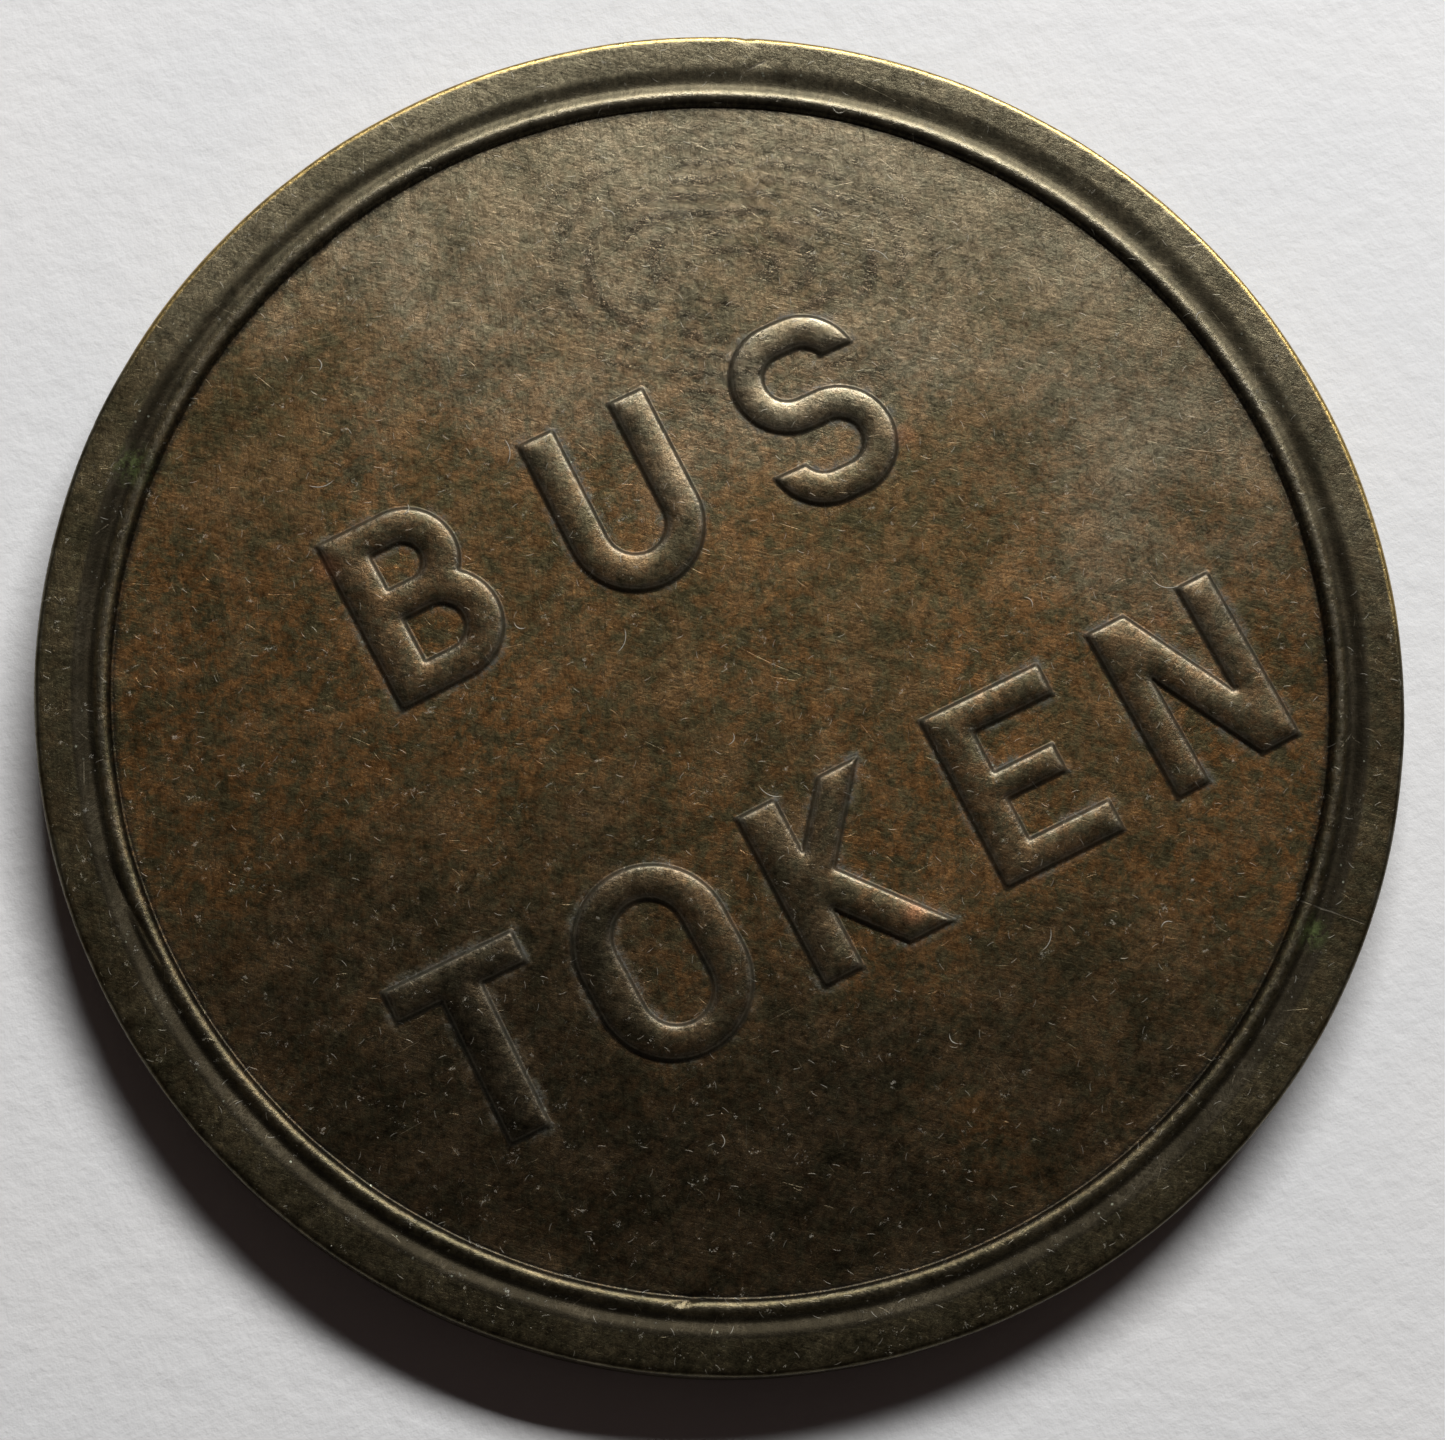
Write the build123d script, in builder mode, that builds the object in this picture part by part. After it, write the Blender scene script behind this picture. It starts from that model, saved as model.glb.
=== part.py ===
"""Transit token: one struck bronze disc, lettered on the front and plain on the back.

Frame: +Z is up out of the lettered face, +X runs along the lettering and +Y up it.
The origin is the centre of the back rim's plane, so the token lies on z = 0. Millimetres.
"""

import os

from build123d import *

os.makedirs("parts", exist_ok=True)

# Blank
diameter = 31.0
thickness = 1.6
edge_round = 0.15

# Rim, from the outside inwards: flat band, sloping groove, narrow ridge, sunk field.
# Depths are measured down from the band, which is the highest surface.
band_width = 0.85
groove_width = 0.40
groove_depth = 0.12
ridge_width = 0.47
ridge_crest_width = 0.20
ridge_drop = 0.06
field_depth = 0.21

# Lettering, cut as sloping-sided letters that stand on the field
letter_drop = 0.06
letter_wall_angle = 30.0
cap_height = 4.3
stem = 1.0
arm = 0.8
curve_stem = 0.9 * stem
round_overshoot = 0.12

# Worked out from the sizes above
radius = diameter / 2
mid_height = thickness / 2
band_inner = radius - band_width
groove_inner = band_inner - groove_width
ridge_inner = groove_inner - ridge_width
field_height = thickness - field_depth
letter_height = field_depth - letter_drop
ridge_slope_width = (ridge_width - ridge_crest_width) / 2


def ring_half_section() -> Sketch:
    """Section of the front half, with x as the radius and y as the height over mid plane."""
    band = mid_height
    field = band - field_depth
    groove = band - groove_depth
    crest = band - ridge_drop
    crest_inner = ridge_inner + ridge_slope_width
    crest_outer = groove_inner - ridge_slope_width
    crest_shoulder = (crest + groove) / 2
    with BuildSketch() as half:
        with BuildLine():
            Polyline((0, 0), (0, field), (ridge_inner, field), (crest_inner, crest_shoulder))
            ThreePointArc(
                (crest_inner, crest_shoulder),
                ((crest_inner + crest_outer) / 2, crest),
                (crest_outer, crest_shoulder),
            )
            Line((crest_outer, crest_shoulder), (groove_inner, groove))
            TangentArc((groove_inner, groove), (band_inner, band), tangent=(1, 0))
            Polyline((band_inner, band), (radius, band), (radius, 0), (0, 0))
        make_face()
        outer_corner = half.vertices().filter_by_position(Axis.X, radius, radius).sort_by(Axis.Y)[-1]
        fillet(outer_corner, radius=edge_round)
    return half.sketch


def bar(start: tuple, end: tuple, width: float) -> Sketch:
    """A straight stroke whose ends are level with the top and bottom of the letter."""
    (x0, y0), (x1, y1) = start, end
    rise = abs(y1 - y0)
    level = width * (rise**2 + (x1 - x0) ** 2) ** 0.5 / rise / 2
    with BuildSketch() as stroke:
        with BuildLine():
            Polyline(
                (x0 - level, y0), (x0 + level, y0), (x1 + level, y1), (x1 - level, y1), close=True
            )
        make_face()
    return stroke.sketch


def bowl(left: float, right: float, low: float, high: float) -> Sketch:
    """A flat-backed, round-fronted shape, as in B."""
    bend = (high - low) / 2
    with BuildSketch() as shape:
        with Locations(((left + right - bend) / 2, (low + high) / 2)):
            Rectangle(right - bend - left, high - low)
        with Locations((right - bend, (low + high) / 2)):
            Circle(bend)
    return shape.sketch


def letter_b() -> Sketch:
    left = -1.5
    upper_right = 1.4
    lower_right = 1.6
    top = cap_height / 2
    waist_low = 0.1 - arm / 2
    waist_high = 0.1 + arm / 2
    hole_left = left + stem
    with BuildSketch() as letter:
        add(bowl(left, upper_right, waist_low, top))
        add(bowl(left, lower_right, -top, waist_high))
        add(bowl(hole_left, upper_right - curve_stem, waist_high, top - arm), mode=Mode.SUBTRACT)
        add(bowl(hole_left, lower_right - curve_stem, arm - top, waist_low), mode=Mode.SUBTRACT)
    return letter.sketch


def letter_u() -> Sketch:
    outer = 1.6
    inner = outer - curve_stem
    bend_y = outer - cap_height / 2 - round_overshoot
    leg = cap_height / 2 - bend_y
    with BuildSketch() as letter:
        with Locations((0, bend_y)):
            Circle(outer)
            Circle(inner, mode=Mode.SUBTRACT)
        with Locations((0, bend_y + leg / 2)):
            Rectangle(2 * outer, leg)
            Rectangle(2 * inner, leg, mode=Mode.SUBTRACT)
    return letter.sketch


def letter_s() -> Sketch:
    """An upper hook, open at its lower right, and the same hook turned half round."""
    width = 3.1
    bowl_centre = (cap_height + 2 * round_overshoot - arm) / 4
    bowl_height = 2 * bowl_centre + arm
    straight_end = (width - bowl_height) / 2
    terminal_lift = 0.15
    terminal = bowl_centre + terminal_lift
    with BuildSketch() as hook:
        with Locations((0, bowl_centre)):
            SlotOverall(width, bowl_height)
            SlotOverall(width - 2 * arm, bowl_height - 2 * arm, mode=Mode.SUBTRACT)
        with Locations((straight_end, terminal)):
            Rectangle(width, cap_height, align=(Align.MIN, Align.MAX), mode=Mode.SUBTRACT)
    with BuildSketch() as letter:
        with PolarLocations(0, 2):
            add(hook.sketch)
    return letter.sketch


def letter_t() -> Sketch:
    width = 3.2
    with BuildSketch() as letter:
        Rectangle(stem, cap_height)
        with Locations((0, (cap_height - arm) / 2)):
            Rectangle(width, arm)
    return letter.sketch


def letter_o() -> Sketch:
    width = 3.6
    tall = cap_height + 2 * round_overshoot
    with BuildSketch() as letter:
        SlotOverall(tall, width, rotation=90)
        SlotOverall(tall - 2 * arm, width - 2 * stem, rotation=90, mode=Mode.SUBTRACT)
    return letter.sketch


def letter_k() -> Sketch:
    stem_x = -1.15
    top = cap_height / 2
    upper_tip = (0.95, top)
    upper_root = (stem_x, -0.45)
    lower_tip = (1.10, -top)
    lower_root = (stem_x + 0.3, 0.25)
    with BuildSketch() as letter:
        with Locations((stem_x, 0)):
            Rectangle(stem, cap_height)
        add(bar(upper_root, upper_tip, arm))
        add(bar(lower_root, lower_tip, curve_stem))
    return letter.sketch


def letter_e() -> Sketch:
    width = 3.05
    middle_width = 2.5
    middle_arm = 0.9 * arm
    left = -width / 2
    with BuildSketch() as letter:
        with Locations((left + stem / 2, 0)):
            Rectangle(stem, cap_height)
        with Locations((0, (cap_height - arm) / 2), (0, (arm - cap_height) / 2)):
            Rectangle(width, arm)
        with Locations((left + middle_width / 2, 0)):
            Rectangle(middle_width, middle_arm)
    return letter.sketch


def letter_n() -> Sketch:
    """Half of the outline is drawn and turned half round, because N looks the same either way."""
    right = 1.62
    top = cap_height / 2
    leg = 0.85 * stem
    slant = stem
    inner_right = right - leg
    notch = top - 2 * top * (inner_right + right - slant) / (2 * right - slant)
    half = [(right, top), (inner_right, top), (inner_right, notch), (slant - right, top), (-right, top)]
    with BuildSketch() as letter:
        with BuildLine():
            Polyline(*half, *[(-x, -y) for x, y in half], close=True)
        make_face()
    return letter.sketch


# Each letter with its centre and its lean in degrees, as uneven as separate hand-set punches
legend = (
    (letter_b, -5.35, 4.85, 0.8),
    (letter_u, -0.15, 4.90, -0.5),
    (letter_s, 4.75, 4.82, -1.0),
    (letter_t, -8.50, -4.98, -0.9),
    (letter_o, -4.20, -5.02, 1.2),
    (letter_k, 0.40, -5.00, 0.4),
    (letter_e, 5.00, -4.90, -0.6),
    (letter_n, 9.50, -4.80, 0.9),
)

# The blank and its rims are turned, then the lettering is raised from the front field
with BuildPart() as token:
    with BuildSketch(Plane.XZ):
        with Locations((0, mid_height)):
            add(ring_half_section())
    revolve(axis=Axis.Z)
    mirror(about=Plane.XY.offset(mid_height))
    for letter, x, y, lean in legend:
        with BuildSketch(Plane.XY.offset(field_height)):
            with Locations(Location((x, y, 0), (0, 0, lean))):
                add(letter())
        extrude(amount=letter_height, taper=letter_wall_angle)

token.part.label = "token"
export_step(token.part, "parts/token.step")
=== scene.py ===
"""Transit token: the worn, handled look of one struck bronze disc lying on pale paper.

The disc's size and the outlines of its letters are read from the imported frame. The disc is
rebuilt as one fine mesh with soft struck relief, and a procedural patina goes on top of it.
Sizes are in millimetres and angles in degrees, and MM turns sizes into Blender's metres.
"""

import math
from types import SimpleNamespace

import bpy
import numpy as np
from mathutils import Matrix, Vector, noise
from mathutils.geometry import delaunay_2d_cdt


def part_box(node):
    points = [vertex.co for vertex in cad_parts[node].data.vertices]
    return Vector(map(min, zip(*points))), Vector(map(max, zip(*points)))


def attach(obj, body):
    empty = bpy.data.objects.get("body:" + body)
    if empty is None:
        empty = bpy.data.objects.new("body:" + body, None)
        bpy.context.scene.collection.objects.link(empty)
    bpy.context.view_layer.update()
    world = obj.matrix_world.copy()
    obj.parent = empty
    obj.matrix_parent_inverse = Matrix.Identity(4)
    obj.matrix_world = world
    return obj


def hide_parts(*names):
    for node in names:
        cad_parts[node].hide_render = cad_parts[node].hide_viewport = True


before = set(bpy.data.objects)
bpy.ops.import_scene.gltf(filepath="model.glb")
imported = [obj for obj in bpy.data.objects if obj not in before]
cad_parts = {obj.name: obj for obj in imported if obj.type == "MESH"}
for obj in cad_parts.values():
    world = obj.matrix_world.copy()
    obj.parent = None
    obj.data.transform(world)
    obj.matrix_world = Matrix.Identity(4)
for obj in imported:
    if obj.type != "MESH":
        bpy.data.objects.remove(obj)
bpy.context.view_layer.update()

MM = 0.001

# The disc, from the frame
box_low, box_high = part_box("token")
RADIUS = (box_high.x - box_low.x) / 2 / MM
THICKNESS = (box_high.z - box_low.z) / MM

# Relief, as depths below the outer band, which is the highest surface
FIELD_DROP = 0.21
LETTER_DROP = 0.06
CREST_DROP = 0.06
GROOVE_DROP = 0.11
EDGE_ROUND = 0.15

# Radii of the struck rim, from the inside out
SEAM = 13.62
RIDGE_FOOT, CREST = 13.80, 14.04
GROOVE_IN, GROOVE_OUT = 14.34, 14.30
BAND_IN = 14.60

# Letter relief, across the outline: outwards at the foot, and inwards up the wall
WALL_OUT, WALL_IN = 0.035, 0.075
CROWN, CROWN_REACH = 0.065, 0.24

# Mesh: points round the rim, and the steps along an outline, over the field and over the back
AROUND = 720
OUTLINE_STEP = 0.075
FIELD_STEP = 0.22
BACK_STEP = 0.6
LETTER_ROWS = (0, 0.03, 0.06, 0.09, 0.13, 0.19, 0.27, 0.37)

# Light, with the lamp's power in watts
LAMP_SIZE = (150, 46)
LAMP_POWER = 0.62
LAMP_COLOUR = (1.0, 0.99, 0.98)
LAMP_AZIMUTH, LAMP_ELEVATION = 47, 44
LAMP_DISTANCE = 230
BACKDROP = (0.62, 0.63, 0.64, 1)
DIM_ROOM = (0.021, 0.015, 0.014, 1)
ROOM_WALLS = (0.20, 0.195, 0.18, 1)

# Paper, and the distances over which it begins to glow by itself
PAPER_COOL, PAPER_PLAIN = (0.83, 0.84, 0.85, 1), (0.87, 0.87, 0.87, 1)
PAPER_FAR = (0.60, 0.61, 0.62, 1)
PAPER_FADE = (120.0, 450.0)

# Camera: the lens and the point it looks at, then how far, which way and how much it leans
CAMERA_LENS, CAMERA_SENSOR = 93.88, 36
CAMERA_AIM = (-0.478, -0.729, THICKNESS - 0.193)
CAMERA_DISTANCE = 85
CAMERA_AZIMUTH, CAMERA_LEAN = 226.6, 12.685
CAMERA_ROLL = -27


# ---------------------------------------------------------------- small helpers

def ramp(low, high, value):
    """Smooth step from 0 at low to 1 at high."""
    t = np.clip((value - low) / (high - low), 0, 1)
    return t * t * (3 - 2 * t)


def unit(vectors):
    return vectors / np.maximum(np.linalg.norm(vectors, axis=-1, keepdims=True), 1e-9)


def wander(points, size, seed):
    """Smooth noise between about -1 and 1, with features size millimetres across."""
    offset = Vector((seed * 17.3, seed * 5.1, seed * 9.7))
    return np.array([noise.noise(Vector((x, y, 0)) / size + offset) for x, y in points.tolist()])


def angle_gap(angles, centre):
    """Signed difference from centre, in degrees."""
    return (angles - centre + 180) % 360 - 180


def polar(radius, angle):
    """Point at that radius and angle in degrees."""
    return radius * math.cos(math.radians(angle)), radius * math.sin(math.radians(angle))


def circle(radii, angles):
    """Points at those radii and angles in degrees, as an array."""
    return np.stack([radii * np.cos(np.radians(angles)), radii * np.sin(np.radians(angles))], axis=1)


# ---------------------------------------------------------------- letter outlines

def field_border(mesh, height):
    """The border of the flat field at this height, as directed edges with the field on their left."""
    points = np.empty(len(mesh.vertices) * 3)
    mesh.vertices.foreach_get("co", points)
    mesh.calc_loop_triangles()
    corners = np.empty(len(mesh.loop_triangles) * 3, dtype=np.int32)
    mesh.loop_triangles.foreach_get("vertices", corners)
    keys, welded = np.unique(np.round(points.reshape(-1, 3) / MM, 3), axis=0, return_inverse=True)
    triangles = welded.reshape(-1)[corners].reshape(-1, 3)
    level = np.all(np.abs(keys[triangles][:, :, 2] - height) < 0.004, axis=1)
    triangles = triangles[level]
    edges = np.concatenate([triangles[:, [0, 1]], triangles[:, [1, 2]], triangles[:, [2, 0]]]).tolist()
    known = {(a, b) for a, b in edges}
    return keys[:, :2], {a: b for a, b in edges if a != b and (b, a) not in known}


def letter_loops(mesh, height):
    """Closed outlines of the letters and of their counters, each as an array of points."""
    points, following = field_border(mesh, height)
    loops = []
    while following:
        start = min(following)
        loop = [start]
        at = following.pop(start)
        while at != start:
            loop.append(at)
            at = following.pop(at)
        outline = points[loop]
        if np.hypot(*outline.T).max() < SEAM:
            loops.append(outline)
    return loops


def smooth_outline(loop, step, longest_chord=0.42, sharpest_bend=38):
    """Resamples an outline. The short chords of a curve become a smooth curve, and corners stay."""
    chord = np.roll(loop, -1, axis=0) - loop
    length = np.linalg.norm(chord, axis=1)
    ahead = chord / length[:, None]
    behind = np.roll(ahead, 1, axis=0)
    long_ahead = (length > longest_chord)[:, None]
    long_behind = np.roll(long_ahead, 1, axis=0)
    corner = (np.sum(ahead * behind, axis=1) < math.cos(math.radians(sharpest_bend)))[:, None]
    tangent = np.where(long_ahead, ahead, np.where(long_behind, behind, unit(ahead + behind)))
    leaving = np.where(corner, ahead, tangent)
    arriving = np.roll(np.where(corner, behind, tangent), -1, axis=0)
    pieces = []
    for i, start in enumerate(loop):
        count = max(1, round(length[i] / step))
        t = (np.arange(count) / count)[:, None]
        straight = start + t * chord[i]
        bend = (t**3 - 2 * t**2 + t) * (leaving[i] - ahead[i])
        bend += (t**3 - t**2) * (arriving[i] - ahead[i])
        pieces.append(straight + bend * length[i] * float(length[i] <= longest_chord))
    return np.concatenate(pieces)


def letter_distance(points, loops, reach=1.1):
    """Signed distance to the nearest letter edge: positive on a letter, and no more than reach."""
    result = np.full(len(points), reach)
    inside = np.zeros(len(points), dtype=bool)
    for loop in loops:
        low, high = loop.min(axis=0) - reach, loop.max(axis=0) + reach
        near = np.flatnonzero(np.all((points > low) & (points < high), axis=1))
        for part in np.array_split(near, max(1, len(near) // 3000)):
            p = points[part][:, None, :]
            a, b = loop[None], np.roll(loop, -1, axis=0)[None]
            ab = b - a
            t = np.clip(np.sum((p - a) * ab, axis=2) / np.sum(ab * ab, axis=2), 0, 1)
            gap = np.linalg.norm(p - a - t[..., None] * ab, axis=2).min(axis=1, initial=reach)
            result[part] = np.minimum(result[part], gap)
            crosses = (a[..., 1] > p[..., 1]) != (b[..., 1] > p[..., 1])
            rise = np.where(ab[..., 1] == 0, 1.0, ab[..., 1])
            at_x = a[..., 0] + (p[..., 1] - a[..., 1]) / rise * ab[..., 0]
            inside[part] ^= (crosses & (p[..., 0] < at_x)).sum(axis=1) % 2 == 1
    return np.where(inside, result, -result)


def soft_distance(points, loops, blur=0.13):
    """Letter distance averaged over a small ring, which takes the crease out of mitred corners."""
    ring = [polar(blur, 60 * k) for k in range(6)]
    return sum(letter_distance(points + np.array(offset), loops) for offset in ring) / len(ring)


# ---------------------------------------------------------------- relief

# Nicks and laps in the rim: start and end as (radius, degrees), width and depth
DENTS = (
    ((15.6, 61.2), (15.42, 60.8), 0.07, 0.06),
    ((14.98, 58.8), (14.62, 60.9), 0.05, 0.035),
    ((13.82, 103.0), (13.44, 112.2), 0.05, 0.020),
    ((13.62, 152.0), (13.33, 162.0), 0.05, 0.018),
    ((14.42, 170.0), (14.08, 180.0), 0.05, 0.030),
    ((13.98, 238.4), (13.72, 240.4), 0.06, 0.060),
    ((15.6, 184.0), (15.25, 184.2), 0.06, 0.080),
    ((15.6, 131.0), (15.40, 131.3), 0.05, 0.050),
    ((15.6, 292.0), (15.35, 291.5), 0.06, 0.050),
)


def dent_depth(points):
    """Depth of the soft-edged gouges, at each point."""
    depth = np.zeros(len(points))
    for start, end, width, drop in DENTS:
        a, b = np.array(polar(*start)), np.array(polar(*end))
        t = np.clip((points - a) @ (b - a) / ((b - a) @ (b - a)), 0, 1)
        gap = np.linalg.norm(points - a - t[:, None] * (b - a), axis=1)
        depth += drop * np.exp(-((gap / width) ** 2))
    return depth


def rim_relief(r, angles):
    """Height of a face over its outer band, from the field out to the band."""
    band_in = BAND_IN + 0.22 * np.exp(-((angle_gap(angles, 32) / 48) ** 2))
    crest = CREST_DROP + 0.012 * np.sin(np.radians(angles * 3 + 40))
    inward = np.clip((CREST - r) / (CREST - RIDGE_FOOT), 0, 0.995)
    height = -crest - (FIELD_DROP - crest) * (1 - np.sqrt(1 - inward**2)) / 0.9
    height = np.maximum(height, -FIELD_DROP)
    height -= (GROOVE_DROP - crest) * ramp(CREST, GROOVE_IN, r)
    height += (GROOVE_DROP - 0.010) * ramp(GROOVE_OUT, band_in, r)
    return height + 0.010 * ramp(band_in - 0.05, band_in + 0.5, r)


def front_relief(points, r, angles, edge, soft_edge):
    """Height of the lettered face over its outer band, from plain and softened letter distances."""
    wall = ramp(-WALL_OUT, WALL_IN, edge)
    inner = np.maximum(edge + (soft_edge - edge) * ramp(0.05, 0.25, edge), 0)
    crown = CROWN * (1 - np.exp(-inner / CROWN_REACH))
    struck = 1 + 0.10 * wander(points, 3.0, 3)
    letter = (wall * (FIELD_DROP - LETTER_DROP - CROWN) + crown) * struck
    swell = 0.012 * wander(points, 4.0, 1) + 0.003 * wander(points, 1.1, 2) - 0.008
    field = swell * (1 - ramp(RIDGE_FOOT - 0.3, RIDGE_FOOT, r))
    return rim_relief(r, angles) + field + letter - dent_depth(points)


# ---------------------------------------------------------------- mesh

def offset_row(loop, distance):
    """Points beside a closed outline, with a fan of them round each outer corner."""
    ahead = unit(np.roll(loop, -1, axis=0) - loop)
    behind = np.roll(ahead, 1, axis=0)
    right = np.stack([ahead[:, 1], -ahead[:, 0]], axis=1)
    right_behind = np.roll(right, 1, axis=0)
    made = [loop + distance * unit(right + right_behind)]
    cross = behind[:, 0] * ahead[:, 1] - behind[:, 1] * ahead[:, 0]
    turn = np.arctan2(cross, np.sum(behind * ahead, axis=1))
    for i in np.flatnonzero(np.abs(turn) > 0.4):
        count = int(abs(distance * turn[i]) / OUTLINE_STEP) + 2
        start = math.atan2(right_behind[i][1], right_behind[i][0])
        swing = start + turn[i] * np.linspace(0, 1, count)
        made.append(loop[i] + distance * np.stack([np.cos(swing), np.sin(swing)], axis=1))
    return np.concatenate(made)


def honeycomb(step, limit):
    """Evenly spread points inside a circle."""
    count = int(limit / step * 1.2) + 2
    column, row = np.meshgrid(np.arange(-count, count + 1), np.arange(-count, count + 1))
    x = (column + 0.5 * (row % 2)) * step
    y = row * step * math.sqrt(3) / 2
    spread = np.stack([x.ravel(), y.ravel()], axis=1)
    return spread[np.hypot(*spread.T) < limit]


def thin_out(points, gap):
    """Drops each point that lies closer than gap to one kept before it."""
    cells = {}
    kept = []
    for i, (x, y) in enumerate(points.tolist()):
        column, row = math.floor(x / gap), math.floor(y / gap)
        neighbours = [cells.get((column + a, row + b), ()) for a in (-1, 0, 1) for b in (-1, 0, 1)]
        if all((x - u) ** 2 + (y - v) ** 2 >= gap * gap for cell in neighbours for u, v in cell):
            cells.setdefault((column, row), []).append((x, y))
            kept.append(i)
    return points[kept]


def field_points(loops):
    """Points over the front field: rows along every letter edge, and a honeycomb between them."""
    made = []
    for distance in LETTER_ROWS:
        for side in (1, -1) if distance else (1,):
            row = np.concatenate([offset_row(loop, side * distance) for loop in loops])
            true_gap = np.abs(letter_distance(row, loops))
            made.append(row[np.abs(true_gap - distance) < 0.004])
    spread = honeycomb(FIELD_STEP, SEAM - 0.12)
    made.append(spread[np.abs(letter_distance(spread, loops)) > 0.42])
    return thin_out(np.concatenate(made), 0.026)


def disc_faces(ring, inner):
    """Triangles over a disc, as indices into the ring's points followed by the inner ones."""
    flat = [Vector(p) for p in np.concatenate([ring, inner]).tolist()]
    _, _, faces, origin, _, _ = delaunay_2d_cdt(flat, [], [], 0, 1e-6)
    source = [found[0] for found in origin]
    return [[source[corner] for corner in face] for face in faces]


def rim_radii():
    """Radii of the rows across one face's rim, closest together over the ridge."""
    return np.concatenate([
        np.linspace(SEAM, 13.75, 3),
        np.linspace(13.795, 13.88, 5),
        np.linspace(13.91, 14.30, 11),
        np.linspace(14.35, 14.87, 8),
        np.linspace(15.0, RADIUS - EDGE_ROUND - 0.06, 3),
    ])


def near_crest(radius):
    """1 at the ridge, falling away on both sides, so that only the ridge is uneven."""
    return math.exp(-(((radius - 14.0) / 0.35) ** 2))


def lathe_rows(loops):
    """Closed rows of points from the front seam, over the edge, to the back seam."""
    angles = np.arange(AROUND) * 360 / AROUND
    around = circle(np.full(AROUND, 15.0), angles)
    drift = 0.018 * wander(around, 6.0, 11) + 0.012 * wander(around, 1.6, 12)
    softness = EDGE_ROUND * (0.80 + 0.20 * wander(around, 2.2, 13))
    burr = np.exp(-((angle_gap(angles, 189) / 22) ** 4)) * wander(around, 0.45, 15) * 0.05
    bruise = 0.006 * (1 + wander(around, 1.3, 14))
    rows = []
    for radius in rim_radii():
        points = circle(radius + drift * near_crest(radius), angles)
        edge = letter_distance(points, loops) if radius < 13.7 else np.full(AROUND, -1.0)
        relief = front_relief(points, np.full(AROUND, radius), angles, edge, edge)
        rows.append((points, THICKNESS + relief))
    for bend in np.linspace(0, math.pi / 2, 5):
        smooth_edge = RADIUS - softness + (softness - bruise) * math.sin(bend)
        points = circle(smooth_edge + burr * math.cos(bend), angles)
        top = THICKNESS - softness * (1 - math.cos(bend)) - np.maximum(burr, 0) * math.sin(bend)
        rows.append((points, top - dent_depth(points)))
    for share in (0.25, 0.5, 0.75):
        points = circle(RADIUS - bruise, angles)
        rows.append((points, softness + (1 - share) * (THICKNESS - 2 * softness)))
    for bend in np.linspace(math.pi / 2, 0, 5):
        points = circle(RADIUS - softness + (softness - bruise) * math.sin(bend), angles)
        rows.append((points, softness * (1 - math.cos(bend))))
    for radius in rim_radii()[::-2]:
        points = circle(radius + drift[::-1] * near_crest(radius), angles)
        rows.append((points, -rim_relief(np.full(AROUND, radius), angles + 150)))
    return rows


def token_mesh():
    """The whole token: both faces, both rims and the edge, as one closed mesh."""
    cad_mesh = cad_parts["token"].data
    rough_loops = letter_loops(cad_mesh, THICKNESS - FIELD_DROP)
    loops = [smooth_outline(loop, OUTLINE_STEP) for loop in rough_loops]
    rows = lathe_rows(loops)
    inner = field_points(loops)
    back = honeycomb(BACK_STEP, SEAM - 0.3)
    inner_angles = np.degrees(np.arctan2(inner[:, 1], inner[:, 0]))
    inner_edge = letter_distance(inner, loops)
    inner_soft = soft_distance(inner, loops)
    inner_relief = front_relief(inner, np.hypot(*inner.T), inner_angles, inner_edge, inner_soft)
    back_height = FIELD_DROP - 0.012 * wander(back, 5.0, 5) + 0.004

    rims = np.concatenate([np.column_stack(row) for row in rows])
    vertices = np.concatenate([
        rims, np.column_stack([inner, THICKNESS + inner_relief]), np.column_stack([back, back_height])
    ])
    vertices[:, 2] = np.clip(vertices[:, 2], 0, THICKNESS)
    faces = []
    for row in range(len(rows) - 1):
        for i in range(AROUND):
            here, there = row * AROUND, (row + 1) * AROUND
            step = (i + 1) % AROUND
            faces.append([here + i, there + i, there + step, here + step])
    inner_start, back_start = len(rims), len(rims) + len(inner)
    last_row = (len(rows) - 1) * AROUND
    for face in disc_faces(rows[0][0], inner):
        faces.append([c if c < AROUND else c - AROUND + inner_start for c in face])
    for face in disc_faces(rows[-1][0], back):
        faces.append([c + last_row if c < AROUND else c - AROUND + back_start for c in face[::-1]])

    mesh = bpy.data.meshes.new("token_disc")
    mesh.from_pydata((vertices * MM).tolist(), [], faces)
    edge = np.full(len(vertices), -1.1)
    edge[:AROUND] = letter_distance(rows[0][0], loops)
    edge[inner_start:back_start] = inner_edge
    mesh.attributes.new("letter_edge", "FLOAT", "POINT").data.foreach_set("value", edge.astype(np.float32))
    mesh.shade_smooth()
    mesh.validate()
    return mesh


# ---------------------------------------------------------------- shader nodes

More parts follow.
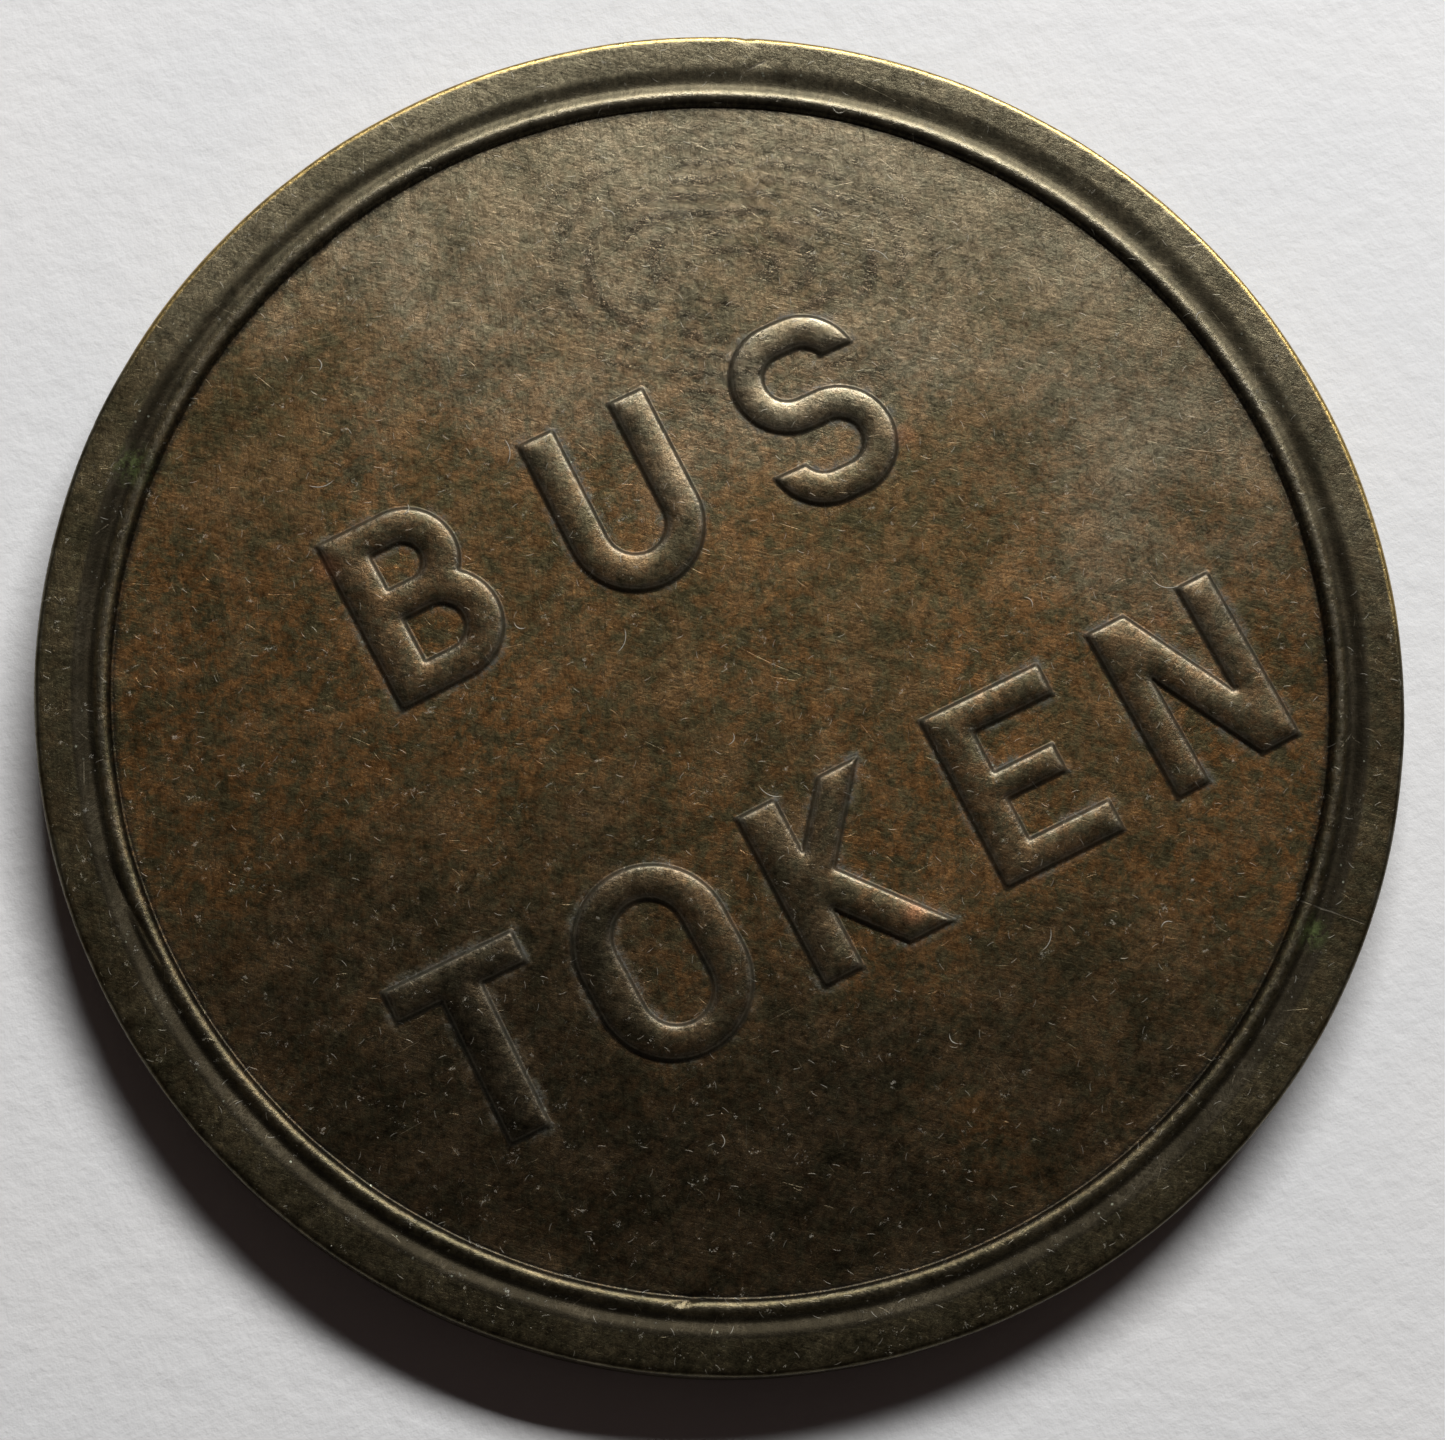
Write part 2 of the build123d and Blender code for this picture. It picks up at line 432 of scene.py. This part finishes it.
class Shader:
    """Adds and links nodes in one node tree. Values may be numbers, tuples or sockets."""

    def __init__(self, tree):
        self.tree = tree
        self.tree.nodes.clear()

    def put(self, socket, value):
        if isinstance(value, bpy.types.NodeSocket):
            self.tree.links.new(value, socket)
        else:
            socket.default_value = value

    def node(self, kind, inputs, **settings):
        made = self.tree.nodes.new("ShaderNode" + kind)
        for name, value in settings.items():
            setattr(made, name, value)
        for key, value in inputs.items():
            self.put(made.inputs[key], value)
        return made

    def math(self, operation, *values):
        return self.node("Math", dict(enumerate(values)), operation=operation).outputs[0]

    def vector(self, operation, *values):
        made = self.node("VectorMath", dict(enumerate(values)), operation=operation)
        return made.outputs["Value" if operation in ("LENGTH", "DISTANCE", "DOT_PRODUCT") else "Vector"]

    def step(self, value, low, high):
        """0 below low and 1 above high, or the other way round when low is the larger."""
        inputs = {"Value": value, "From Min": low, "From Max": high}
        return self.node("MapRange", inputs, interpolation_type="SMOOTHSTEP").outputs[0]

    def remap(self, value, low, high, to_low, to_high):
        inputs = {"Value": value, "From Min": low, "From Max": high, "To Min": to_low, "To Max": to_high}
        return self.node("MapRange", inputs).outputs[0]

    def between(self, factor, at_zero, at_one):
        """A number that goes from one value to another as a mask goes from 0 to 1."""
        return self.remap(factor, 0, 1, at_zero, at_one)

    def mix(self, factor, a, b):
        """Colour a where factor is 0, and colour b where it is 1."""
        return self.node("Mix", {0: factor, 6: a, 7: b}, data_type="RGBA").outputs[2]

    def noise(self, vector, scale, detail=2.0, roughness=0.5, distortion=0.0):
        inputs = {"Vector": vector, "Scale": scale, "Detail": detail}
        inputs |= {"Roughness": roughness, "Distortion": distortion}
        return self.node("TexNoise", inputs).outputs[0]

    def millimetres(self):
        """Each point's position in its object's own frame."""
        metres = self.node("TexCoord", {}).outputs["Object"]
        return self.vector("MULTIPLY", metres, (1 / MM, 1 / MM, 1 / MM))

    def place(self, vector, origin=(0, 0, 0), turn=0.0, stretch=(1, 1, 1)):
        """Coordinates measured from an origin, along axes turned by that angle, in stretched units."""
        rotation = (0, 0, math.radians(turn))
        inputs = {"Vector": vector, "Location": origin, "Rotation": rotation, "Scale": stretch}
        return self.node("Mapping", inputs, vector_type="TEXTURE").outputs[0]

    def towards(self, position, azimuth):
        """Distance of each point from the token's axis, measured in that direction."""
        return self.vector("DOT_PRODUCT", position, (*polar(1, azimuth), 0))

    def times(self, *values):
        result = values[0]
        for value in values[1:]:
            result = self.math("MULTIPLY", result, value)
        return result

    def add(self, *values):
        result = values[0]
        for value in values[1:]:
            result = self.math("ADD", result, value)
        return result

    def less(self, value, *taken):
        for amount in taken:
            value = self.math("SUBTRACT", value, amount)
        return value

    def most(self, *values):
        result = values[0]
        for value in values[1:]:
            result = self.math("MAXIMUM", result, value)
        return result

    def spot(self, position, centre, radius):
        """1 at a point of the front face, falling to 0 at the radius."""
        return self.step(self.vector("DISTANCE", position, (*centre, THICKNESS)), radius, 0.0)


def streak(s, position, turn, origin):
    """Noise drawn out along one direction, like the grain left by wiping."""
    drawn_out = s.place(position, origin, turn, (0.35, 0.07, 1))
    return s.noise(drawn_out, scale=1.0, detail=3.0, roughness=0.7, distortion=0.5)


def fibres(s, position, turn, across, along, origin):
    """Long fine lines in one direction, like wiping scratches, between 0 and 1."""
    drawn_out = s.place(position, origin, turn, (along, across, 1))
    lines = s.noise(drawn_out, scale=1.0, detail=3.0, roughness=0.6, distortion=0.4)
    return s.step(s.math("ABSOLUTE", s.less(lines, 0.5)), 0.05, 0.0)


def dashes(s, position, origin, size, length, width, chance, bow=0.0):
    """Short strokes at every angle: at most one in each of many cells of that size."""
    moved = s.place(position, origin)
    inputs = {"Vector": moved, "Scale": 1 / size, "Randomness": 0.9}
    cells = s.node("TexVoronoi", inputs, voronoi_dimensions="2D")
    random = s.node("SeparateColor", {"Color": cells.outputs["Color"]}).outputs
    from_centre = s.vector("SUBTRACT", moved, cells.outputs["Position"])
    angle = s.math("MULTIPLY", random[0], 2 * math.pi)
    inputs = {"Vector": from_centre, "Angle": angle}
    turned = s.node("VectorRotate", inputs, rotation_type="Z_AXIS").outputs[0]
    axes = s.node("SeparateXYZ", {"Vector": turned}).outputs
    along = s.math("ABSOLUTE", axes[0])
    across = s.add(axes[1], s.times(axes[0], axes[0], bow))
    body = s.step(s.math("ABSOLUTE", across), width, width * 0.35)
    return s.times(body, s.step(along, length, length * 0.5), s.math("LESS_THAN", random[1], chance))


def specks(s, position, origin, size, radius, chance):
    """Small round dots, at most one in each of many cells of that size."""
    inputs = {"Vector": s.place(position, origin), "Scale": 1 / size}
    cells = s.node("TexVoronoi", inputs, voronoi_dimensions="3D")
    random = s.node("SeparateColor", {"Color": cells.outputs["Color"]}).outputs
    dot = s.step(cells.outputs["Distance"], radius / size, radius / size * 0.5)
    return s.times(dot, s.math("LESS_THAN", random[2], chance))


def stroke(s, position, start, end, width):
    """One scratch between two points, each a radius and an angle, 1 along its middle."""
    a, b = Vector((*polar(*start), 0)), Vector((*polar(*end), 0))
    heading = (b - a).normalized()
    length, taper = (b - a).length, width * 3
    from_start = s.vector("SUBTRACT", position, tuple(a))
    along = s.vector("DOT_PRODUCT", from_start, tuple(heading))
    side = s.vector("DOT_PRODUCT", from_start, (-heading.y, heading.x, 0))
    inside = s.times(s.step(along, 0.0, taper), s.step(along, length, length - taper))
    return s.times(inside, s.step(s.math("ABSOLUTE", side), width, 0.0))


# ---------------------------------------------------------------- bronze patina

# Base colours of the patina, linear
OLIVE = (0.080, 0.066, 0.030, 1)
BROWN = (0.116, 0.068, 0.027, 1)
ORANGE = (0.190, 0.088, 0.027, 1)
# Painted shade: the browner, darker copy of the patina for the side away from the lamp
DULL_BROWN = (0.080, 0.066, 0.042, 1)
LETTER_BROWN = (0.072, 0.061, 0.038, 1)
RIM_OLIVE = (0.066, 0.057, 0.031, 1)
# Painted sheen: the paler copy of the patina for the side towards the lamp
HANDLED_METAL = (0.222, 0.197, 0.132, 1)

# What lies on it or shows through it, with painted shade for the groove and the corners, and lit and
# shaded copies of the edge's metal
GRIME = (0.042, 0.042, 0.030, 1)
# Painted shade in the rim's groove
GROOVE_DARK = (0.015, 0.012, 0.007, 1)
# Painted shade along the feet of the ridge and of the letters
CORNER_DARK = (0.014, 0.013, 0.010, 1)
VERDIGRIS = (0.090, 0.120, 0.040, 1)
CRUMB = (0.24, 0.25, 0.19, 1)
RUBBED_METAL = (0.19, 0.172, 0.135, 1)
BARE_COPPER = (0.40, 0.16, 0.07, 1)
# Lit and shaded copies of the rubbed edge: a painted glint towards the lamp
EDGE_DULL, EDGE_GILT = (0.115, 0.110, 0.080, 1), (0.60, 0.42, 0.14, 1)
SCRATCH = (0.22, 0.19, 0.13, 1)
SCUFF = (0.16, 0.135, 0.085, 1)
DUST = (0.38, 0.36, 0.30, 1)
GREASE = (0.30, 0.27, 0.23, 1)

# Directions in degrees: towards the painted sheen, which faces the lamp, and towards the side darkened
# with painted shade
HANDLED_SIDE, DIMMER_SIDE = 56, 20

# Spots on the front face, as a centre and a radius
VERDIGRIS_SPOTS = (((-9.70, 10.44), 0.7), ((9.09, -10.97), 0.6))
COPPER_SPOTS = (((-6.9, 6.4), 0.5), ((6.4, 3.3), 0.45), ((1.3, -6.6), 0.4), ((9.6, -3.1), 0.4))

# Single scratches on the front, as two ends (radius, degrees) and a width
SCRATCHES = (
    ((15.40, 312), (13.80, 312), 0.03),
    ((15.48, 16), (14.98, 17.3), 0.05),
    ((14.97, 58.8), (14.65, 60.9), 0.05),
    ((13.75, 31), (13.40, 31), 0.04),
)

# The finger mark: its centre, its lean in degrees and the distance between its ridges
FINGER_CENTRE, FINGER_LEAN, FINGER_RIDGES = (4.6, 8.8, 0), -27, 0.43


def struck_zones(s):
    """Masks for the parts of the struck form, from each point's place and its letter distance.

    The hollow is the groove in the rim. The corners are where the ridge and the letters meet the field.
    """
    m = SimpleNamespace()
    m.position = s.millimetres()
    m.up = s.node("SeparateXYZ", {"Vector": m.position}).outputs[2]
    radius = m.radius = s.vector("LENGTH", s.vector("MULTIPLY", m.position, (1, 1, 0)))
    edge = s.node("Attribute", {}, attribute_name="letter_edge").outputs["Fac"]
    m.letter = s.step(edge, -0.02, 0.08)
    m.rim = s.step(radius, 13.72, 13.95)
    m.wall = s.step(radius, RADIUS - 0.12, RADIUS - 0.04)
    m.face = s.less(1.0, m.wall)
    m.front = s.step(m.up, THICKNESS * 0.4, THICKNESS * 0.6)
    m.foot = s.times(s.step(edge, -0.26, -0.03), s.step(edge, 0.07, 0.02))
    m.sides = s.times(s.step(edge, -0.06, -0.01), s.step(edge, 0.10, 0.05))
    m.hollow = s.times(s.step(radius, 14.10, 14.22), s.step(radius, 14.78, 14.62))
    ridge_foot = s.times(s.step(radius, 13.62, 13.76), s.step(radius, 13.95, 13.84))
    letter_foot = s.times(s.step(edge, -0.09, -0.03), s.step(edge, 0.03, 0.0), 0.5)
    m.corner = s.most(ridge_foot, letter_foot)
    shoulder = s.times(s.step(edge, 0.03, 0.08), s.step(edge, 0.20, 0.11))
    crest = s.times(s.step(radius, 13.92, 14.0), s.step(radius, 14.14, 14.06))
    m.high_spots = s.most(shoulder, crest)
    return m


def mottling(s, m):
    """Adds noise from broad stains down to grain, and the marks of wiping in three directions."""
    m.stains = s.noise(m.position, scale=0.16, detail=4.0, roughness=0.55, distortion=0.6)
    m.clouds = s.noise(
        s.place(m.position, (31, 7, 0)), scale=0.7, detail=7.0, roughness=0.74, distortion=0.3
    )
    m.grain = s.noise(s.place(m.position, (3, 17, 0)), scale=4.5, detail=5.0, roughness=0.78)
    m.hue = s.noise(
        s.place(m.position, (13, 11, 0)), scale=2.2, detail=6.0, roughness=0.80, distortion=0.4
    )
    streaks = s.add(
        streak(s, m.position, 20, (1, 2, 0)),
        streak(s, m.position, 68, (5, 3, 0)),
        streak(s, m.position, -42, (8, 9, 0)),
    )
    m.streaks = s.remap(streaks, 1.15, 1.85, 0, 1)
    wiped = s.most(
        fibres(s, m.position, 24, 0.11, 1.8, (1, 2, 0)),
        fibres(s, m.position, 71, 0.09, 1.4, (5, 3, 0)),
        fibres(s, m.position, -38, 0.10, 1.7, (8, 9, 0)),
    )
    m.wiped = s.times(wiped, s.step(m.clouds, 0.42, 0.66))


def handling(s, m):
    """Adds masks for a painted sheen on the side towards the lamp, paler and a little smoother, and for
    painted shade on the side across from it.
    """
    m.up_slope = s.add(s.towards(m.position, HANDLED_SIDE), s.remap(m.stains, 0.3, 0.7, -4.0, 4.0))
    m.handled = s.step(m.up_slope, 2.5, 12.5)
    m.dull = s.step(m.up_slope, -1.5, -13.0)


def patina_colour(s, m):
    """Olive to brown with orange stains, darkened by speckle, with a paler painted sheen towards the lamp
    and painted shade across from it and to one side.
    """
    tint = s.add(s.times(m.clouds, 0.4), s.times(m.hue, 0.6))
    colour = s.mix(s.step(tint, 0.42, 0.56), OLIVE, BROWN)
    warm = s.times(s.step(m.stains, 0.36, 0.62), s.step(m.hue, 0.44, 0.60))
    # Painted shade: less orange and a browner colour on the side away from the lamp
    colour = s.mix(s.times(warm, s.between(m.dull, 0.68, 0.14)), colour, ORANGE)
    colour = s.mix(s.times(m.dull, 0.35), colour, DULL_BROWN)
    colour = s.mix(s.times(m.letter, 0.5), colour, LETTER_BROWN)
    colour = s.mix(s.times(m.rim, 0.8), colour, RIM_OLIVE)
    # Painted sheen: paler on the side towards the lamp, less so on the rim
    colour = s.mix(s.times(m.handled, s.between(m.rim, 0.66, 0.46)), colour, HANDLED_METAL)
    speckle = s.add(s.remap(m.grain, 0.33, 0.67, 0.32, 0.98), s.between(m.streaks, 0.1, 0.72))
    speckle = s.times(speckle, s.remap(m.clouds, 0.35, 0.65, 0.80, 1.18))
    # Painted shade: the speckle deepens and the colour darkens on the side away from the lamp, less so on
    # the rim, and darkens towards one side
    speckle = s.math("POWER", speckle, s.between(m.dull, 1.0, 1.4))
    to_one_side = s.step(s.towards(m.position, DIMMER_SIDE), 2.0, 14.0)
    dimmed = s.times(m.dull, s.between(m.rim, 1.0, 0.35))
    shade = s.times(speckle, s.between(dimmed, 1.0, 0.50), s.between(to_one_side, 1.0, 0.64))
    return s.vector("MULTIPLY", colour, shade)


def with_grime(s, m, colour):
    """Grime packed against the relief in places, with pale crumbs in it, painted shade in the rim's groove
    and along the feet of the ridge and letters, and two green spots.
    """
    moved = s.place(m.position, (6, 2, 0))
    patchy = s.step(s.noise(moved, scale=0.8, detail=4.0, roughness=0.7), 0.44, 0.60)
    crumbs = s.step(s.noise(moved, scale=9.0, detail=3.0, roughness=0.7), 0.42, 0.62)
    m.grime = s.times(m.foot, patchy, s.between(crumbs, 0.3, 1.0))
    colour = s.mix(s.times(s.most(m.grime, s.times(m.sides, 0.6)), 0.8), colour, GRIME)
    # Painted shade in the rim's groove, lighter under the painted sheen
    colour = s.mix(s.times(m.hollow, s.between(m.handled, 0.90, 0.25)), colour, GROOVE_DARK)
    # Painted shade along the feet of the ridge and letters, broken by the crumbs
    colour = s.mix(s.times(m.corner, s.between(crumbs, 0.85, 0.45)), colour, CORNER_DARK)
    green = s.most(*[s.spot(m.position, centre, radius) for centre, radius in VERDIGRIS_SPOTS])
    colour = s.mix(s.times(green, s.step(m.grain, 0.40, 0.60), 0.7), colour, VERDIGRIS)
    dots = specks(s, m.position, (2, 2, 0), size=0.22, radius=0.035, chance=0.35)
    dots = s.times(dots, s.most(m.foot, m.hollow, m.corner), patchy)
    return s.mix(s.times(dots, 0.7), colour, CRUMB)


def with_bare_metal(s, m, colour):
    """Metal showing where the relief is rubbed, at the edge, in scratches and in the wall's scuffs. The
    rubbed edge is gilded as a painted glint on the side towards the lamp, and dulled as painted shade
    across from it.
    """
    m.rubbed = s.times(m.high_spots, s.step(m.grain, 0.36, 0.62))
    edge = s.times(s.step(m.radius, RADIUS - 0.17, RADIUS - 0.10), s.step(m.up, 1.2, 1.4))
    # The rubbed edge runs unbroken and turns gilt on the lit side as a painted glint
    ragged = s.most(s.step(m.clouds, 0.46, 0.60), s.step(m.up_slope, 0.0, 6.0))
    m.bright_edge = s.times(edge, s.remap(m.grain, 0.35, 0.6, 0.4, 1.0), ragged)
    gilt = s.mix(s.step(m.up_slope, 2.0, 9.0), EDGE_DULL, EDGE_GILT)
    cuts = s.most(
        dashes(s, m.position, (0.3, 0.8, 0), size=1.7, length=0.35, width=0.014, chance=0.30),
        dashes(s, m.position, (5.3, 1.8, 0), size=0.8, length=0.16, width=0.014, chance=0.50, bow=0.9),
        dashes(s, m.position, (9.1, 4.4, 0), size=5.6, length=1.2, width=0.012, chance=0.30, bow=0.05),
    )
    m.cuts = s.times(cuts, s.step(m.grain, 0.38, 0.52), m.face)
    m.scratches = s.times(s.most(*[stroke(s, m.position, *scratch) for scratch in SCRATCHES]), m.front)
    copper = s.most(*[s.spot(m.position, centre, radius) for centre, radius in COPPER_SPOTS])
    worn = s.times(s.most(m.rubbed, m.scratches), s.between(m.dull, 0.42, 0.20))
    colour = s.mix(worn, colour, RUBBED_METAL)
    colour = s.mix(s.times(copper, m.grain), colour, BARE_COPPER)
    colour = s.mix(s.times(m.bright_edge, s.between(m.dull, 0.9, 0.15)), colour, gilt)
    colour = s.mix(s.times(s.most(m.cuts, s.times(m.wiped, 0.3)), 0.4), colour, SCRATCH)
    round_the_wall = s.place(m.position, (2, 4, 6), 0, (1.1, 1.1, 0.05))
    scuffs = s.noise(round_the_wall, scale=1.0, detail=4.0, roughness=0.7)
    m.scuffs = s.times(s.step(scuffs, 0.50, 0.66), m.wall)
    return s.mix(s.times(m.scuffs, 0.4), colour, SCUFF)


def with_dust(s, m, colour):
    """Dust and lint lying on the faces."""
    fine = s.most(
        specks(s, m.position, (4, 2, 0), size=0.30, radius=0.016, chance=0.35),
        dashes(s, m.position, (3.7, 2.4, 0), size=0.55, length=0.11, width=0.012, chance=0.30, bow=1.5),
    )
    flecks = s.noise(s.place(m.position, (9, 4, 0)), scale=3.4, detail=6.0, roughness=0.85)
    dust = s.most(
        s.times(fine, 0.4),
        s.times(s.step(flecks, 0.615, 0.68), 0.5),
        specks(s, m.position, (1, 8, 0), size=0.8, radius=0.022, chance=0.30),
        specks(s, m.position, (6, 3, 0), size=2.6, radius=0.050, chance=0.30),
        dashes(s, m.position, (2.2, 6.5, 0), size=4.1, length=0.17, width=0.016, chance=0.25, bow=3.4),
        dashes(s, m.position, (7.2, 1.5, 0), size=5.3, length=0.32, width=0.014, chance=0.30, bow=1.1),
    )
    m.dust = s.times(dust, m.face)
    return s.mix(s.times(m.dust, 0.8), colour, DUST)


def with_finger_mark(s, m, colour):
    """Greasy ridges in a bent whorl."""
    finger = s.place(m.position, FINGER_CENTRE, FINGER_LEAN)
    rings = s.vector("LENGTH", s.vector("MULTIPLY", finger, (0.55, 1.0, 0)))
    bend = s.times(s.noise(m.position, scale=0.26, detail=1.5), 13.0)
    phase = s.add(s.times(rings, 2 * math.pi / FINGER_RIDGES), bend)
    inside = s.step(s.vector("LENGTH", s.vector("MULTIPLY", finger, (0.8, 1.2, 0))), 5.6, 2.2)
    inside = s.times(inside, s.step(s.noise(m.position, scale=0.9, detail=1.0), 0.36, 0.56), m.front)
    m.ridges = s.times(s.remap(s.math("SINE", phase), -1, 1, 0, 1), inside)
    return s.mix(s.times(m.ridges, s.remap(m.grain, 0.35, 0.65, 0.03, 0.13)), colour, GREASE)


def roughness(s, m):
    rough = s.remap(m.clouds, 0.3, 0.7, 0.31, 0.39)
    matt = s.most(m.grime, m.dust, s.times(s.most(m.hollow, m.sides), 0.7))
    rough = s.add(rough, s.times(s.less(m.grain, 0.5), 0.14), s.times(matt, 0.25))
    smooth = s.most(m.rubbed, m.wiped, m.cuts, m.bright_edge)
    rough = s.less(rough, s.times(smooth, 0.05), s.times(m.ridges, 0.09), s.times(m.handled, 0.02))
    return s.most(rough, 0.2)


def fine_relief(s, m):
    """Bump from the patina and from what lies on it, as a height in millimetres."""
    height = s.add(
        s.times(s.less(m.clouds, 0.5), 0.010),
        s.times(m.grain, 0.0090),
        s.times(m.streaks, 0.0030),
        s.times(m.ridges, 0.0017),
        s.times(m.grime, 0.004),
        s.times(m.dust, 0.004),
    )
    height = s.less(
        height,
        s.times(m.wiped, 0.0008),
        s.times(m.scuffs, 0.0030),
        s.times(s.most(m.cuts, m.scratches), 0.0020),
    )
    return s.node("Bump", {"Height": height, "Strength": 1.0, "Distance": MM}).outputs[0]


def new_material(name):
    material = bpy.data.materials.new(name)
    material.use_nodes = True
    return material


def bronze_material():
    """Dark brown bronze patina: mottled and wiped, with grime round the relief, a painted sheen towards
    the lamp, painted shade across from it and in the groove and corners, and a painted glint on the edge.
    """
    material = new_material("bronze_patina")
    s = Shader(material.node_tree)
    m = struck_zones(s)
    mottling(s, m)
    handling(s, m)
    colour = patina_colour(s, m)
    for layer in (with_grime, with_bare_metal, with_dust, with_finger_mark):
        colour = layer(s, m, colour)
    metal = s.between(s.most(m.grime, m.dust, s.times(m.sides, 0.45)), 0.93, 0.1)
    inputs = {"Base Color": colour, "Roughness": roughness(s, m), "Metallic": metal}
    inputs |= {"Normal": fine_relief(s, m), "IOR": 1.5}
    shader = s.node("BsdfPrincipled", inputs)
    s.node("OutputMaterial", {"Surface": shader.outputs[0]})
    return material


def paper_material():
    """Matt pale paper with a faint tooth, which stays pale beyond the lamp's reach."""
    material = new_material("pale_paper")
    s = Shader(material.node_tree)
    position = s.millimetres()
    tooth = s.noise(position, scale=1.3, detail=5.0, roughness=0.65)
    blotch = s.noise(position, scale=0.12, detail=2.0)
    colour = s.mix(s.step(blotch, 0.3, 0.7), PAPER_COOL, PAPER_PLAIN)
    bump = s.node("Bump", {"Height": s.times(tooth, 0.06), "Strength": 1.0, "Distance": MM}).outputs[0]
    far = s.step(s.vector("LENGTH", position), *PAPER_FADE)
    inputs = {"Base Color": colour, "Roughness": 0.9, "Normal": bump}
    inputs |= {"Emission Color": PAPER_FAR, "Emission Strength": far}
    shader = s.node("BsdfPrincipled", inputs)
    s.node("OutputMaterial", {"Surface": shader.outputs[0]})
    return material


# ---------------------------------------------------------------- scene

def add_object(name, data):
    made = bpy.data.objects.new(name, data)
    bpy.context.scene.collection.objects.link(made)
    return made


def add_token():
    mesh = token_mesh()
    mesh.materials.append(bronze_material())
    disc = add_object("token_disc", mesh)
    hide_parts("token")
    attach(disc, "root")


def add_floor(half_width=1.5):
    corners = [(x * half_width, y * half_width, 0) for x, y in ((-1, -1), (1, -1), (1, 1), (-1, 1))]
    mesh = bpy.data.meshes.new("paper_floor")
    mesh.from_pydata(corners, [], [(0, 1, 2, 3)])
    mesh.materials.append(paper_material())
    add_object("paper_floor", mesh)


def direction(azimuth, elevation):
    """Unit vector that way, azimuth from +X and both in degrees."""
    a, e = math.radians(azimuth), math.radians(elevation)
    return Vector((math.cos(a) * math.cos(e), math.sin(a) * math.cos(e), math.sin(e)))


def add_lamp():
    """A soft oblong lamp beyond the top of the token, which lights the face at a slant."""
    lamp = bpy.data.lights.new("soft_lamp", "AREA")
    lamp.shape = "RECTANGLE"
    lamp.size, lamp.size_y = LAMP_SIZE[0] * MM, LAMP_SIZE[1] * MM
    lamp.energy = LAMP_POWER
    lamp.color = LAMP_COLOUR
    away = direction(LAMP_AZIMUTH, LAMP_ELEVATION)
    holder = add_object("soft_lamp", lamp)
    holder.location = away * LAMP_DISTANCE * MM
    holder.rotation_euler = away.to_track_quat("Z", "Y").to_euler()


def add_studio():
    """Dim light from all round, with paler walls low down in reflections, and a pale backdrop."""
    world = bpy.data.worlds.new("studio")
    world.use_nodes = True
    s = Shader(world.node_tree)
    backdrop = s.node("Background", {"Color": BACKDROP}).outputs[0]
    dim = s.node("Background", {"Color": DIM_ROOM}).outputs[0]
    walls = s.node("Background", {"Color": ROOM_WALLS}).outputs[0]
    generated = s.node("TexCoord", {}).outputs["Generated"]
    height = s.node("SeparateXYZ", {"Vector": generated}).outputs["Z"]
    path = s.node("LightPath", {}).outputs
    low_down = s.times(s.step(height, 0.55, 0.05), path["Is Glossy Ray"])
    room = s.node("MixShader", {0: low_down, 1: dim, 2: walls}).outputs[0]
    seen = s.node("MixShader", {0: path["Is Camera Ray"], 1: room, 2: backdrop}).outputs[0]
    s.node("OutputWorld", {"Surface": seen})
    bpy.context.scene.world = world


def add_camera():
    """Close over the face and leaning to its lower left, with the lettering climbing to the right."""
    lens = bpy.data.cameras.new("camera")
    lens.lens = CAMERA_LENS
    lens.sensor_width = CAMERA_SENSOR
    lens.clip_start, lens.clip_end = 0.01, 5
    camera = add_object("camera", lens)
    aim = Vector(CAMERA_AIM) * MM
    lean = direction(CAMERA_AZIMUTH, 90 - CAMERA_LEAN)
    tilt = Vector((0, 0, 1)).rotation_difference(lean).to_matrix()
    facing = tilt @ Matrix.Rotation(math.radians(CAMERA_ROLL), 3, "Z")
    camera.matrix_world = Matrix.Translation(aim + lean * CAMERA_DISTANCE * MM) @ facing.to_4x4()
    bpy.context.scene.camera = camera


add_token()
add_floor()
add_lamp()
add_studio()
add_camera()
bpy.context.scene.view_settings.view_transform = "Standard"
